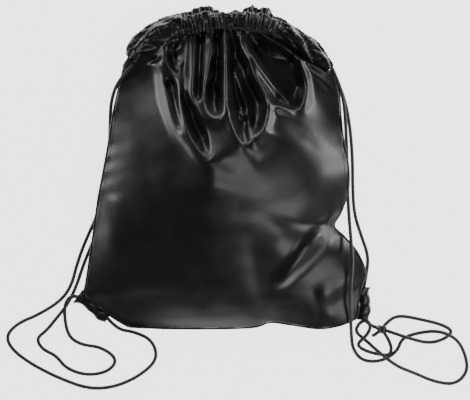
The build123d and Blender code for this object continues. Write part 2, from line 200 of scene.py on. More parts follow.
def inside(xy, outline):
    """Which points lie inside a closed outline."""
    pts = np.array(outline, float)
    within = np.zeros(xy.shape[:-1], bool)
    for (x0, y0), (x1, y1) in zip(pts, np.roll(pts, -1, axis=0)):
        if y0 == y1:
            continue
        spans = (y0 > xy[..., 1]) != (y1 > xy[..., 1])
        cross = x0 + (xy[..., 1] - y0) * (x1 - x0) / (y1 - y0)
        within ^= spans & (xy[..., 0] < cross)
    return within


def waves(rng, count, low, high):
    """Random plane waves, as (direction, wave number, phase) rows."""
    angle = rng.uniform(0, math.pi, count)
    length = rng.uniform(low, high, count)
    return np.stack([np.cos(angle) / length, np.sin(angle) / length,
                     rng.uniform(0, 2 * math.pi, count)], 1)


def ripple(xy, rows):
    """Sum of plane waves at points, about -1 to 1."""
    total = np.zeros(xy.shape[:-1])
    for kx, ky, phase in rows:
        total += np.sin(2 * math.pi * (xy[..., 0] * kx + xy[..., 1] * ky) + phase)
    return total / math.sqrt(len(rows))


def mesh_object(name, verts, faces, uvs=None):
    """A mesh piece from points in millimetres."""
    mesh = bpy.data.meshes.new(name)
    mesh.from_pydata([tuple(v) for v in np.asarray(verts) * MM], [], faces)
    mesh.validate()
    if uvs is not None:
        layer = mesh.uv_layers.new(name="UVMap")
        loops = np.zeros(len(mesh.loops), np.int32)
        mesh.loops.foreach_get("vertex_index", loops)
        layer.data.foreach_set("uv", np.asarray(uvs, float)[loops].ravel())
    mesh.polygons.foreach_set("use_smooth", [True] * len(mesh.polygons))
    mesh.update()
    obj = bpy.data.objects.new(name, mesh)
    bpy.context.collection.objects.link(obj)
    return obj


def grid_faces(rows, columns, wrap=False, flip=False):
    """Quads of a grid of points, rows by columns, joined round if wrap."""
    faces = []
    last = columns if wrap else columns - 1
    for i in range(rows - 1):
        for j in range(last):
            k = (j + 1) % columns
            quad = (i * columns + j, i * columns + k, (i + 1) * columns + k,
                    (i + 1) * columns + j)
            faces.append(quad[::-1] if flip else quad)
    return faces


def add_thickness(obj, amount=CLOTH_THICKNESS):
    """Gives a sheet its cloth's thickness, on its inner side."""
    solid = obj.modifiers.new("cloth thickness", "SOLIDIFY")
    solid.thickness = amount * MM
    solid.offset = -1.0
    solid.use_rim = True
    return obj


def frames_along(path):
    """Tangent, side and up at each point of a line, carried along it without twist."""
    tangent = np.gradient(path, axis=0)
    tangent /= np.linalg.norm(tangent, axis=1)[:, None]
    side = np.zeros_like(path)
    up = np.array([0.0, 0.0, 1.0])
    first = np.cross(tangent[0], up)
    side[0] = first / np.linalg.norm(first)
    for i in range(1, len(path)):
        s = side[i - 1] - tangent[i] * (side[i - 1] @ tangent[i])
        side[i] = s / np.linalg.norm(s)
    return tangent, side, np.cross(side, tangent)


def set_up(obj, body, slot, material, *nodes):
    """Rides a finished piece on its body, gives it its material and hides the frame's solids it
    stands for.
    """
    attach(obj, body)
    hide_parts(*nodes)
    obj.data.materials.append(material)
    return obj


def finish_nodes(names, material):
    """Gives solids of the frame that stay as they are their finish."""
    for name in names:
        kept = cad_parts[name]
        kept.data.materials.clear()
        kept.data.materials.append(material)


# ---------------------------------------------------------------- materials
def new_material(name):
    material = bpy.data.materials.new(name)
    material.use_nodes = True
    tree = material.node_tree
    return material, tree, tree.nodes["Principled BSDF"]


def node(tree, kind, **values):
    """A shader node with its settings and its unlinked inputs."""
    made = tree.nodes.new(kind)
    for key, value in values.items():
        if key in made.inputs:
            made.inputs[key].default_value = value
        else:
            setattr(made, key, value)
    return made


def two_colours(tree, factor, dark, light):
    """Mixes two colours by a value."""
    ramp = tree.nodes.new("ShaderNodeValToRGB")
    ramp.color_ramp.elements[0].color = (*dark, 1)
    ramp.color_ramp.elements[1].color = (*light, 1)
    tree.links.new(factor, ramp.inputs["Fac"])
    return ramp.outputs["Color"]


def coated_cloth():
    """Black polyester with a thin shiny coating: fine plain weave, faint creasing."""
    material, tree, shader = new_material("coated_cloth")
    link = tree.links.new
    place = node(tree, "ShaderNodeTexCoord")
    cloud = node(tree, "ShaderNodeTexNoise", Scale=38.0, Detail=4.0)
    link(place.outputs["Object"], cloud.inputs["Vector"])
    link(two_colours(tree, cloud.outputs["Fac"], (0.006, 0.006, 0.007), (0.013, 0.013, 0.015)),
         shader.inputs["Base Color"])
    rough = node(tree, "ShaderNodeMapRange")
    rough.inputs["From Min"].default_value = 0.3
    rough.inputs["From Max"].default_value = 0.7
    rough.inputs["To Min"].default_value = 0.27
    rough.inputs["To Max"].default_value = 0.37
    link(cloud.outputs["Fac"], rough.inputs["Value"])
    link(rough.outputs["Result"], shader.inputs["Roughness"])
    threads = []
    for direction in ("X", "Y"):
        bands = node(tree, "ShaderNodeTexWave", Scale=260.0, Distortion=0.6, Detail=1.0,
                     wave_type="BANDS", bands_direction=direction)
        link(place.outputs["UV"], bands.inputs["Vector"])
        threads.append(bands.outputs["Fac"])
    weave = node(tree, "ShaderNodeMath", operation="MULTIPLY")
    link(threads[0], weave.inputs[0])
    link(threads[1], weave.inputs[1])
    fine = node(tree, "ShaderNodeBump", Strength=0.35, Distance=0.00008)
    link(weave.outputs["Value"], fine.inputs["Height"])
    crease = node(tree, "ShaderNodeTexNoise", Scale=70.0, Detail=3.0, Roughness=0.55)
    link(place.outputs["Object"], crease.inputs["Vector"])
    crumple = node(tree, "ShaderNodeBump", Strength=0.14, Distance=0.0006)
    link(crease.outputs["Fac"], crumple.inputs["Height"])
    link(fine.outputs["Normal"], crumple.inputs["Normal"])
    link(crumple.outputs["Normal"], shader.inputs["Normal"])
    shader.inputs["Specular IOR Level"].default_value = 0.5
    shader.inputs["Sheen Weight"].default_value = 0.04
    shader.inputs["Sheen Roughness"].default_value = 0.4
    shader.inputs["Coat Weight"].default_value = 0.15
    shader.inputs["Coat Roughness"].default_value = 0.20
    return material


def braided_cord():
    """Black polyester braid: crossing strands of fine fibres with a dull sheen."""
    material, tree, shader = new_material("braided_cord")
    link = tree.links.new
    place = node(tree, "ShaderNodeTexCoord")
    fibres = node(tree, "ShaderNodeTexNoise", Scale=900.0, Detail=3.0)
    link(place.outputs["Object"], fibres.inputs["Vector"])
    link(two_colours(tree, fibres.outputs["Fac"], (0.010, 0.010, 0.010), (0.055, 0.055, 0.057)),
         shader.inputs["Base Color"])
    fuzz = node(tree, "ShaderNodeBump", Strength=0.5, Distance=0.0002)
    link(fibres.outputs["Fac"], fuzz.inputs["Height"])
    link(fuzz.outputs["Normal"], shader.inputs["Normal"])
    shader.inputs["Roughness"].default_value = 0.62
    shader.inputs["Sheen Weight"].default_value = 0.25
    shader.inputs["Sheen Roughness"].default_value = 0.5
    return material


def sewing_thread():
    """Black twisted polyester thread."""
    material, tree, shader = new_material("sewing_thread")
    link = tree.links.new
    place = node(tree, "ShaderNodeTexCoord")
    twist = node(tree, "ShaderNodeTexNoise", Scale=1600.0, Detail=2.0)
    link(place.outputs["Object"], twist.inputs["Vector"])
    link(two_colours(tree, twist.outputs["Fac"], (0.010, 0.010, 0.011), (0.045, 0.045, 0.048)),
         shader.inputs["Base Color"])
    relief = node(tree, "ShaderNodeBump", Strength=0.4, Distance=0.0001)
    link(twist.outputs["Fac"], relief.inputs["Height"])
    link(relief.outputs["Normal"], shader.inputs["Normal"])
    shader.inputs["Roughness"].default_value = 0.5
    return material


CLOTH = coated_cloth()
BRAID = braided_cord()
THREAD = sewing_thread()


# ---------------------------------------------------------------- camera, light and floor
CAMERA_PLACE = (0.01625, -0.037, 2.0)
LENS = 117.8
# Name, place, the place it is aimed at, size and power
LIGHTS = (
    ("left light", (-1.7, 0.9, 0.34), (0, 0, 0.05), (1.0, 0.36), 11),
    ("right light", (1.7, 0.6, 0.34), (0, 0, 0.05), (1.0, 0.36), 12),
    ("low light", (1.3, -1.25, 1.5), (0, 0, 0), (1.3, 0.8), 12),
    ("top light", (0.85, -0.15, 1.9), (0, 0, 0), (0.7, 0.9), 6.5),
    ("back light", (-0.9, 1.7, 0.9), (0, 0.1, 0), (0.8, 0.4), 7),
)
FLOOR_SIZE = 6
FLOOR_GAP = 0.0002           # the floor lies this far under the bag


def aim(obj, target):
    """Turns a light to face a place."""
    obj.rotation_euler = (Vector(target) - obj.location).to_track_quat("-Z", "Y").to_euler()


def camera():
    """Straight above the bag, looking down, with the mouth at the top of the picture."""
    data = bpy.data.cameras.new("camera")
    data.sensor_width = 36
    data.lens = LENS
    obj = bpy.data.objects.new("camera", data)
    obj.location = CAMERA_PLACE
    bpy.context.collection.objects.link(obj)
    bpy.context.scene.camera = obj


def area_light(name, place, target, size, power):
    """A soft rectangular light."""
    data = bpy.data.lights.new(name, "AREA")
    data.shape = "RECTANGLE"
    data.size, data.size_y = size
    data.energy = power
    obj = bpy.data.objects.new(name, data)
    obj.location = place
    bpy.context.collection.objects.link(obj)
    aim(obj, target)


def studio():
    """A pale floor under soft light from the sides, darker straight above."""
    world = bpy.data.worlds.new("studio")
    world.use_nodes = True
    world.node_tree.nodes["Background"].inputs["Color"].default_value = (1, 1, 1, 1)
    world.node_tree.nodes["Background"].inputs["Strength"].default_value = 0.10
    bpy.context.scene.world = world
    for light in LIGHTS:
        area_light(*light)
    bpy.ops.object.select_all(action="DESELECT")
    bpy.ops.mesh.primitive_plane_add(size=FLOOR_SIZE, location=(0, 0, -FLOOR_GAP))
    floor = bpy.context.active_object
    floor.name = "floor"
    material, tree, shader = new_material("pale_floor")
    shader.inputs["Base Color"].default_value = (0.9, 0.9, 0.9, 1)
    shader.inputs["Emission Color"].default_value = (1, 1, 1, 1)
    shader.inputs["Emission Strength"].default_value = 2.8
    shader.inputs["Roughness"].default_value = 0.9
    shader.inputs["Specular IOR Level"].default_value = 0.1
    floor.data.materials.append(material)


camera()
studio()


# ---------------------------------------------------------------- cords
BRAID_STRANDS = 4
BRAID_LAY = 13.0             # length of one turn of a strand
RING_POINTS = 20
RING_STEP = 0.8
END_CROWN = 0.6              # how far a cord's end bulges
KNOT_POINTS = 160


def route_line(name, route):
    """The smooth line of a route: a NURBS curve with the route's points."""
    data = bpy.data.curves.new(name, "CURVE")
    data.dimensions = "3D"
    data.resolution_u = 12
    spline = data.splines.new("NURBS")
    spline.points.add(len(route) - 1)
    for point, place in zip(spline.points, route):
        point.co = (*[c * MM for c in place], 1)
    spline.order_u = 3
    spline.use_endpoint_u = True
    holder = bpy.data.objects.new(name, data)
    bpy.context.collection.objects.link(holder)
    bpy.context.view_layer.update()
    line = bpy.data.meshes.new_from_object(holder.evaluated_get(
        bpy.context.evaluated_depsgraph_get()))
    points = np.array([v.co[:] for v in line.vertices]) / MM
    bpy.data.objects.remove(holder)
    bpy.data.curves.remove(data)
    bpy.data.meshes.remove(line)
    return points


def braid_tube(name, line):
    """A round braid along a line: crossing strands stand a little proud. Its ends are closed.

    Gives the piece, its middle line and its length.
    """
    length = np.linalg.norm(np.diff(line, axis=0), axis=1).sum()
    count = max(int(length / RING_STEP), 8)
    path = even_line(line, count)
    tangent, side, up = frames_along(path)
    angle = np.arange(RING_POINTS) * 2 * math.pi / RING_POINTS
    along = np.linspace(0, length, count)[:, None]
    lay = 2 * math.pi * along / BRAID_LAY
    right = np.abs(np.sin(BRAID_STRANDS / 2 * angle + lay * 2))
    left = np.abs(np.sin(BRAID_STRANDS / 2 * angle - lay * 2))
    over = np.sin(BRAID_STRANDS * angle) * np.sin(lay * 4)
    relief = np.where(over > 0, right, left)
    radius = CORD_D / 2 * (0.95 + 0.11 * relief**0.7)
    ring = (side[:, None] * np.cos(angle)[None, :, None]
            + up[:, None] * np.sin(angle)[None, :, None])
    verts = (path[:, None] + ring * radius[..., None]).reshape(-1, 3)
    uvs = np.stack(np.broadcast_arrays(along / CORD_D, angle[None] / (2 * math.pi)), -1)
    faces = grid_faces(count, RING_POINTS, wrap=True)
    ends = np.array([path[0] - tangent[0] * END_CROWN, path[-1] + tangent[-1] * END_CROWN])
    verts = np.vstack([verts, ends])
    uvs = np.vstack([uvs.reshape(-1, 2), [[0, 0], [1, 0]]])
    base = count * RING_POINTS
    for j in range(RING_POINTS):
        k = (j + 1) % RING_POINTS
        faces.append((base, k, j))
        faces.append((base + 1, base - RING_POINTS + j, base - RING_POINTS + k))
    return mesh_object(name, verts, faces, uvs), path, length


def free_cord(name, node_name, route):
    """A free cord along its route."""
    line = route_line(name, route)
    obj, path, length = braid_tube(name, line)
    set_up(obj, "bag", "braided_cord", BRAID, node_name)
    return obj


def held_cord(name, line, node_name):
    """A short piece of cord that another piece of the same cord goes on from."""
    return set_up(braid_tube(name, line)[0], "bag", "braided_cord", BRAID, node_name)


def knot():
    """An overhand knot pulled snug: a trefoil of the same cord."""
    low, high = (np.array(v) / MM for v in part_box("right_cord_knot"))
    t = np.linspace(0, 2 * math.pi, KNOT_POINTS)
    loop = np.stack([np.sin(t) + 2 * np.sin(2 * t), np.cos(t) - 2 * np.cos(2 * t),
                     -1.35 * np.sin(3 * t)], 1)
    middle = (low + high) / 2
    reach = (high - low) / 2 - CORD_D / 2 * 0.8
    line = middle + loop / np.abs(loop).max(axis=0) * reach
    return held_cord("cord_knot", line, "right_cord_knot")


knot_piece = knot()
tied_line = route_line("tied_end_cord", RIGHT_TIED_ROUTE)
tied_piece = held_cord("tied_end_cord", tied_line, "right_cord_tied_end")
tail_line = route_line("cord_tail", TAIL_ROUTE)
tail_piece = held_cord("cord_tail", tail_line, "right_cord_tail")
free_cord("left_outer_cord", "left_cord_outer_strand", LEFT_OUTER_ROUTE)
free_cord("left_inner_cord", "left_cord_inner_strand", LEFT_INNER_ROUTE)
free_cord("right_outer_cord", "right_cord_outer_strand", RIGHT_OUTER_ROUTE)
free_cord("right_inner_cord", "right_cord_inner_strand", RIGHT_INNER_ROUTE)
free_cord("bow_loop_cord", "right_cord_bow_loop", RIGHT_BOW_ROUTE)
finish_nodes(("left_cord_front_run", "left_cord_back_run", "right_cord_front_run",
              "right_cord_back_run", "left_cord_turn", "right_cord_turn",
              "left_cord_loop_run", "right_cord_loop_run"), BRAID)


# ---------------------------------------------------------------- the bag's panels
ACROSS = 208
ALONG = 222
STEPS = np.linspace(0, 1, ALONG)
ROWS = STEPS + 0.35 / math.pi * np.sin(math.pi * STEPS)    # closer together near the mouth

PANEL_RUN = 330              # about the run of cloth from the bottom seam to the channel
CREST_REACH = 2.7            # how far a fold's sides run out, in half widths
SOFT_PASSES = 3              # rounding of the folds
FOLD_GAIN = 1.9              # brings back the height that the rounding takes, and some more

# Fold crests on the front panel: line, half width, height. Lines run from the mouth.
FOLDS = (
    (((2, 187), (4, 130), (4, 82), (1, 66)), 4.2, 5.0),
    (((16, 190), (38, 130), (57, 88), (56, 63), (47, 46), (31, 29)), 4.0, 5.0),
    (((16, 132), (25, 100), (34, 71), (33, 33)), 3.4, 6.0),
    (((7, 75), (20, 71), (34, 71)), 2.8, 3.0),
    (((6, 92), (8, 70), (12, 58), (20, 41), (31, 29)), 5.0, 3.5),
    (((29, 190), (65, 168), (95, 149)), 4.5, 5.0),
    (((94, 150), (106, 121), (106, 93), (97, 73)), 3.8, 4.5),
    (((36, 153), (54, 123), (76, 95), (93, 80)), 3.4, 6.5),
    (((57, 87), (74, 80), (92, 75)), 5.0, 3.5),
    (((46, 190), (102, 165), (129, 149)), 3.6, 4.5),
    (((96, 148), (115, 139), (134, 129)), 4.0, 3.0),
    (((-9, 172), (-20, 121), (-23, 91), (-17, 73)), 4.0, 5.0),
    (((-39, 174), (-38, 130), (-39, 98), (-32, 82), (-22, 70), (-6, 63), (4, 70)), 5.0, 5.5),
    (((-60, 160), (-58, 130)), 2.8, 4.0),
    (((-62, 178), (-74, 160), (-71, 137), (-60, 121), (-55, 112), (-52, 85), (-46, 58),
      (-36, 36), (-20, 16)), 4.2, 5.0),
    (((-84, 152), (-79, 135), (-70, 93), (-55, 53), (-38, 27), (-24, 11), (-10, 13)), 5.0, 5.5),
    (((34, 31), (8, 20), (-8, 11), (-13, 0), (-14, -34)), 14.0, 4.0),
    (((31, 29), (46, 36), (60, 56)), 8.0, 2.5),
    (((132, 112), (112, 92), (92, 60)), 12.0, 1.6),
    (((150, -50), (134, -66), (118, -86), (86, -124), (68, -150)), 5.0, 5.0),
    (((147, -62), (132, -78), (127, -92), (104, -116), (72, -146)), 4.0, 3.2),
    (((150, 22), (112, -22), (84, -70), (62, -112)), 16.0, 1.5),
    (((104, 40), (70, -4), (36, -64), (20, -104)), 18.0, 1.2),
    (((176, -132), (150, -152), (120, -160)), 10.0, 2.0),
    (((-140, -30), (-142, -80), (-138, -130)), 14.0, 2.0),
    (((128, -192), (150, -184), (166, -176)), 7.0, 2.0),
)
# Pockets between the crests, where the drawn-in cloth sinks: outline, depth
POCKETS = (
    (((-72, 116), (-61, 118), (-54, 86), (-48, 56), (-54, 46), (-65, 69)), 5.0),
    (((-50, 172), (-44, 172), (-46, 111), (-40, 92), (-24, 66), (-13, 17), (-22, 18), (-36, 38),
      (-46, 63), (-52, 100)), 7.0),
    (((-73, 162), (-60, 168), (-52, 147), (-58, 124), (-69, 138)), 6.0),
    (((-36, 190), (-22, 192), (-25, 130), (-25, 94), (-31, 88), (-37, 98), (-37, 130)), 7.0),
    (((-9, 194), (0, 194), (3, 130), (1, 76), (-7, 67), (-16, 73), (-22, 90), (-20, 121)),
     8.0),
    (((6, 194), (13, 194), (37, 130), (56, 88), (55, 63), (46, 47), (31, 31), (20, 42),
      (11, 61), (7, 76), (6, 126)), 9.0),
    (((30, 194), (65, 166), (93, 148), (104, 121), (104, 94), (96, 76), (76, 81), (59, 88),
      (38, 146), (31, 174)), 9.0),
    (((50, 184), (102, 163), (125, 150), (132, 131), (97, 147), (66, 168), (40, 182)), 5.0),
    (((142, -64), (118, -88), (88, -124), (76, -142), (102, -118), (124, -94), (130, -80)), 3.5),
    (((-110, 148), (-94, 145), (-82, 149), (-80, 142), (-95, 139)), 3.0),
)


def edge_line(points, fractions):
    """Points at given fractions of a smooth line."""
    line = smooth_line(points, 900)
    where = np.linspace(0, 1, len(line))
    return np.stack([np.interp(fractions, where, line[:, k]) for k in range(2)], 1)


def patch(bottom, top, left, right, rows, columns):
    """Floor-plan points of a sheet that fills four edges."""
    s = np.linspace(0, 1, columns)[None, :, None]
    v = rows[:, None, None]
    flat = ((1 - v) * bottom[None] + v * top[None] + (1 - s) * left[:, None]
            + s * right[:, None])
    corners = ((1 - s) * (1 - v) * bottom[0] + s * (1 - v) * bottom[-1]
               + (1 - s) * v * top[0] + s * v * top[-1])
    return flat - corners


def gathered(line, low, high, amount):
    """Respaces a line so that more cloth is drawn into the stretch from x low to high."""
    density = 1 + amount * hump(line[:, 0], low, high, 60)
    cloth = np.concatenate([[0], np.cumsum((density[1:] + density[:-1]) / 2)])
    where = np.linspace(0, cloth[-1], len(line))
    return np.stack([np.interp(where, cloth, line[:, k]) for k in range(2)], 1)


def panel_plan():
    """The floor plan both panels share."""
    top = gathered(smooth_line(STITCH_LINE, ACROSS), -50, 65, 0.8)
    return patch(smooth_line(BOTTOM_EDGE, ACROSS), top, edge_line(LEFT_EDGE, ROWS),
                 edge_line(RIGHT_EDGE, ROWS), ROWS, ACROSS)


def uneven(x, seed, shortest, longest):
    """An uneven wave along x, about -1 to 1, with the given range of wave lengths."""
    rng = np.random.RandomState(seed)
    lengths = np.exp(np.linspace(math.log(shortest), math.log(longest), 7))
    phases = rng.uniform(0, 2 * math.pi, 7)
    total = sum(np.sin(2 * math.pi * x / a + b) for a, b in zip(lengths, phases))
    return total / 2.6


def pleats(x, seed=3):
    """The gathers at the mouth against the place along the hem: round ribs, sharp creases."""
    return 1 - 2.2 * np.abs(uneven(x, seed, 9, 30)) ** 0.8


def blurred(z):
    """Heights averaged with their neighbours in the rows before and after."""
    wide = np.pad(z, ((2, 2), (0, 0)), mode="edge")
    return (wide[:-4] + 4 * wide[1:-3] + 6 * wide[2:-2] + 4 * wide[3:-1] + wide[4:]) / 16


def softened(z, times):
    """Heights with their sharpest bends rounded, as cloth of some thickness lies."""
    for _ in range(times):
        z = blurred(z)
        z = blurred(z.T).T
    return z


def fold_heights(plan):
    """The front panel's fold crests, less its pockets, as heights over its floor plan."""
    folds = np.zeros(plan.shape[:2])
    for line, width, height in FOLDS:
        dist, along = to_line(plan, smooth_line(line, 40))
        taper = np.clip(np.minimum(along / 0.12, (1 - along) / 0.22), 0, 1)
        taper = taper * (2 - taper)
        round_top = 0.04 * width**2 + 0.3
        away = np.sqrt(dist**2 + round_top**2) - round_top
        crest = np.clip(1 - away / (CREST_REACH * width), 0, 1) ** 2
        sway = 1 + 0.22 * np.sin(along * 9 + 7 * width)
        folds = folds + height * crest * taper * sway
    slack = ripple(plan, waves(np.random.RandomState(23), 7, 26, 70))
    for outline, depth in POCKETS:
        rim = smooth_line(outline + outline[:1], 60)
        dist = to_line(plan, rim)[0]
        reach = depth * (1.55 + 0.75 * np.clip(slack, -1, 1))
        drop = 1 - np.clip(1 - dist / reach, 0, 1) ** 1.5
        folds = folds - depth * np.where(inside(plan, rim), drop, 0)
    return FOLD_GAIN * softened(folds, SOFT_PASSES)


def front_surface():
    """The front panel: a filled swell with its folds, gathered in at the mouth."""
    plan = panel_plan()
    s = np.linspace(0, 1, ACROSS)[None]
    v = ROWS[:, None]
    middle_y = plan[:, ACROSS // 2, 1][:, None]
    seam = curve_value(SEAM_LINE, plan[..., 1])
    crown = curve_value(CROWN_LINE, middle_y)
    seam = np.minimum(seam, crown - 1) + np.zeros_like(s)
    across = np.abs(2 * s - 1)
    z = seam + (crown - seam) * (1 - across**2.1)
    edge = np.clip(np.minimum(s, 1 - s) * 8, 0, 1) * np.clip(v * 9, 0, 1)
    edge = edge * edge * (3 - 2 * edge)
    stitch_gap = (1 - v) * PANEL_RUN
    gather = hump(plan[..., 0], -56, 70, 45)
    top = hump(v, 0.945, 2, 0.10)
    z = z * (1 - top) + (FRONT_HEM_Z - 1.2) * top
    z = z + fold_heights(plan) * (0.3 + 0.7 * edge) * (1 - np.exp(-(stitch_gap + 1.5) / 6))
    z = z + gather * (0.6 + 1.6 * pleats(plan[..., 0])) * np.exp(-stitch_gap / 15)
    rng = np.random.RandomState(11)
    broad = ripple(plan, waves(rng, 14, 70, 150))
    small = ripple(plan, waves(rng, 18, 22, 48))
    z = z + (0.7 * broad + 0.12 * small) * edge
    run = np.cumsum(np.linalg.norm(np.diff(plan, axis=0, prepend=plan[:1]), axis=-1), axis=0)
    pucker = np.sin(run / 4.4 + 1.6 * np.sin(run / 19)) * np.exp(-np.minimum(s, 1 - s) * 26)
    z = z + 0.4 * pucker * (1 - top)
    return np.dstack([plan, z])


def sheet_piece(name, points, size, flip=False):
    """A sheet from a grid of points, its UV laid out in metres of flat cloth."""
    rows, columns = points.shape[:2]
    u = np.linspace(0, size[0], columns)[None] + np.zeros((rows, 1))
    w = ROWS[:, None] * size[1] + np.zeros((1, columns))
    return mesh_object(name, points.reshape(-1, 3), grid_faces(rows, columns, flip=flip),
                       np.dstack([u, w]).reshape(-1, 2))


FLAT = (0.38, 0.42)
front_points = front_surface()
front_cloth = sheet_piece("front_cloth", front_points, FLAT)
add_thickness(front_cloth)
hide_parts("front_panel", "front_mouth_flap")
front_cloth.data.materials.append(CLOTH)
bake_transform(front_cloth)


def back_surface():
    """The back panel: flat on the floor, rolling up to the seams all round."""
    plan = panel_plan()
    s = np.linspace(0, 1, ACROSS)[None]
    v = ROWS[:, None]
    seam = curve_value(SEAM_LINE, plan[..., 1])
    width = np.linalg.norm(plan[:, -1] - plan[:, 0], axis=1)[:, None]
    inward = np.minimum(s, 1 - s) * width
    roll = np.clip(1 - inward / 46, 0, 1)
    z = (seam - 1.6) * (1 - np.sqrt(np.clip(1 - roll**2.2, 0, 1)))
    bottom = np.clip(1 - v * 380 / 24, 0, 1)
    z = np.maximum(z, 7 * (1 - np.sqrt(np.clip(1 - bottom**2.2, 0, 1))))
    rng = np.random.RandomState(5)
    creases = ripple(plan, waves(rng, 16, 26, 80))
    z = z + np.clip(0.55 * creases, 0, 3)
    top = np.clip((v - 0.80) / 0.20, 0, 1)
    z = z * (1 - top**2) + top**2 * (BACK_HEM_Z - 2 + 1.2 * pleats(plan[..., 0] + 40))
    shift = top**1.5 * 4.0
    return np.dstack([plan[..., 0], plan[..., 1] + shift, np.maximum(z, 0.6)])


back_points = back_surface()
back_cloth = sheet_piece("back_cloth", back_points, FLAT, flip=True)
add_thickness(back_cloth)
set_up(back_cloth, "bag", "coated_cloth", CLOTH, "back_panel")


# ---------------------------------------------------------------- hems
HEM_COUNT = 520
HEM_RING = 44
HEM_LENGTH = 300             # about the run of a drawn-in channel
HEM_FLAT = (0.38, 0.055)     # a channel's cloth laid flat, in metres
HEM_HALF_WIDTH = 10.5        # past this, more width goes to the inner edge
HEM_THICKNESS = 3.9          # from the channel's middle to its skin
OVER_CORD = 2.9              # the gathered skin stays this far over the middle of the cords
HEM_HALF_WIDTHS = ((-119, 9), (-108, 12.5), (-90, 14.5), (-50, 13), (0, 10.5), (118, 10.5),
                   (137, 9))
# Long creases in the channel's smooth parts: place across it, seed, height
LONG_CREASES = ((0.66, 90, 2.6), (0.30, 95, 2.2))


def lumps(x):
    """How far the slack cloth of the mouth stands out past the channel."""
    left = 7.5 * np.exp(-((x + 24) / 13) ** 2)
    return left + 6.5 * hump(x, 33, 59, 9) - 2.0 * hump(x, -6, 24, 12)


def hem(name, z, shift_y, seed, swell, slack):
    """A ruffled channel: smooth at its sides, tightly gathered in the middle.

    q goes from 0 at its inner edge to 1 at its outer edge. swell is the size of the waves along
    the outer edge, and slack is the share of the mouth's loose cloth that stands out past it.
    """
    line = smooth_line(HEM_LINE, HEM_COUNT) + [0, shift_y]
    tangent = np.gradient(line, axis=0)
    tangent /= np.linalg.norm(tangent, axis=1)[:, None]
    outward = np.stack([-tangent[:, 1], tangent[:, 0]], 1)
    x = line[:, :1]
    share = np.linspace(0, 1, HEM_COUNT)[:, None]
    run = share * HEM_LENGTH
    angle = np.arange(HEM_RING)[None] * 2 * math.pi / HEM_RING
    c, sn = np.cos(angle), np.sin(angle)
    q = (c + 1) / 2
    top = sn > 0

    gather = hump(x, -50, 66, 50)
    ends = np.sqrt(np.clip(np.minimum(share, 1 - share) * HEM_LENGTH / 14, 0, 1))
    pleat = pleats(x + 4 * seed)
    frill = uneven(x, seed + 20, 9, 26)
    crinkle = uneven(run, seed + 40, 4, 10)
    long_wave = uneven(run, seed + 60, 22, 90)

    half = np.interp(x, *zip(*HEM_HALF_WIDTHS)) * (0.56 + 0.44 * ends)
    extra = np.maximum(half - HEM_HALF_WIDTH, 0)
    push = np.where(c < 0, half + extra - 1.8 * gather, half - extra) * c
    push = push + q**1.5 * (gather * (1.2 * frill + 0.6 * pleat) + 0.9 * long_wave)
    push = push + q**2 * lumps(x) * slack + 0.3 * crinkle * q**3
    push = push - (1 - q) ** 2 * gather * 1.6 * pleat

    thin = (1 - 0.5 * q**2) * (0.8 + 0.2 * ends)
    height = (HEM_THICKNESS + 1.5 * gather * pleat) * thin
    lift = (q - 0.35) * (gather * 2.6 * frill + 0.8 * long_wave) * swell
    lift = lift + gather * 0.9 * pleat
    slanting = uneven(x + 40 * q, seed + 80, 20, 60)
    lift = lift + (1 - 0.6 * gather) * 1.6 * slanting * (sn > -0.3)
    for middle, seeds, size in LONG_CREASES:
        drift = middle + 0.13 * uneven(run, seed + seeds, 40, 120)
        lift = lift + size * (1 - gather) * top * np.clip(1 - np.abs(q - drift) / 0.17, 0, 1)
    lift = lift - 1.6 * (1 - q) ** 4 + 0.2 * crinkle * top * q

    skin = z + height * np.sign(sn) * np.abs(sn) ** 0.8 + lift
    over_cords = z + OVER_CORD + 0.35 * pleat + 0.3 * crinkle - 6 * (1 - gather)
    skin = np.where((sn > 0.15) & (q < 0.8), np.maximum(skin, over_cords), skin)
    plan = line[:, None] + outward[:, None] * push[..., None]
    points = np.dstack([plan, np.maximum(skin, 0.4)])
    u = np.broadcast_to(share * HEM_FLAT[0], push.shape)
    w = np.broadcast_to(angle / (2 * math.pi) * HEM_FLAT[1], push.shape)
    obj = mesh_object(name, points.reshape(-1, 3),
                      grid_faces(HEM_COUNT, HEM_RING, wrap=True, flip=True),
                      np.dstack([u, w]).reshape(-1, 2))
    return add_thickness(obj), points


front_hem, front_hem_points = hem("front_channel", FRONT_HEM_Z, 0.0, seed=1, swell=1.0, slack=0.25)
set_up(front_hem, "mouth_front", "coated_cloth", CLOTH, "front_hem")
back_hem, back_hem_points = hem("back_channel", BACK_HEM_Z, 6.0, seed=4, swell=0.6, slack=1)
set_up(back_hem, "bag", "coated_cloth", CLOTH, "back_hem")


# ---------------------------------------------------------------- seams
STRIP_SIDES = 12
SEAM_WAVE = 0.5


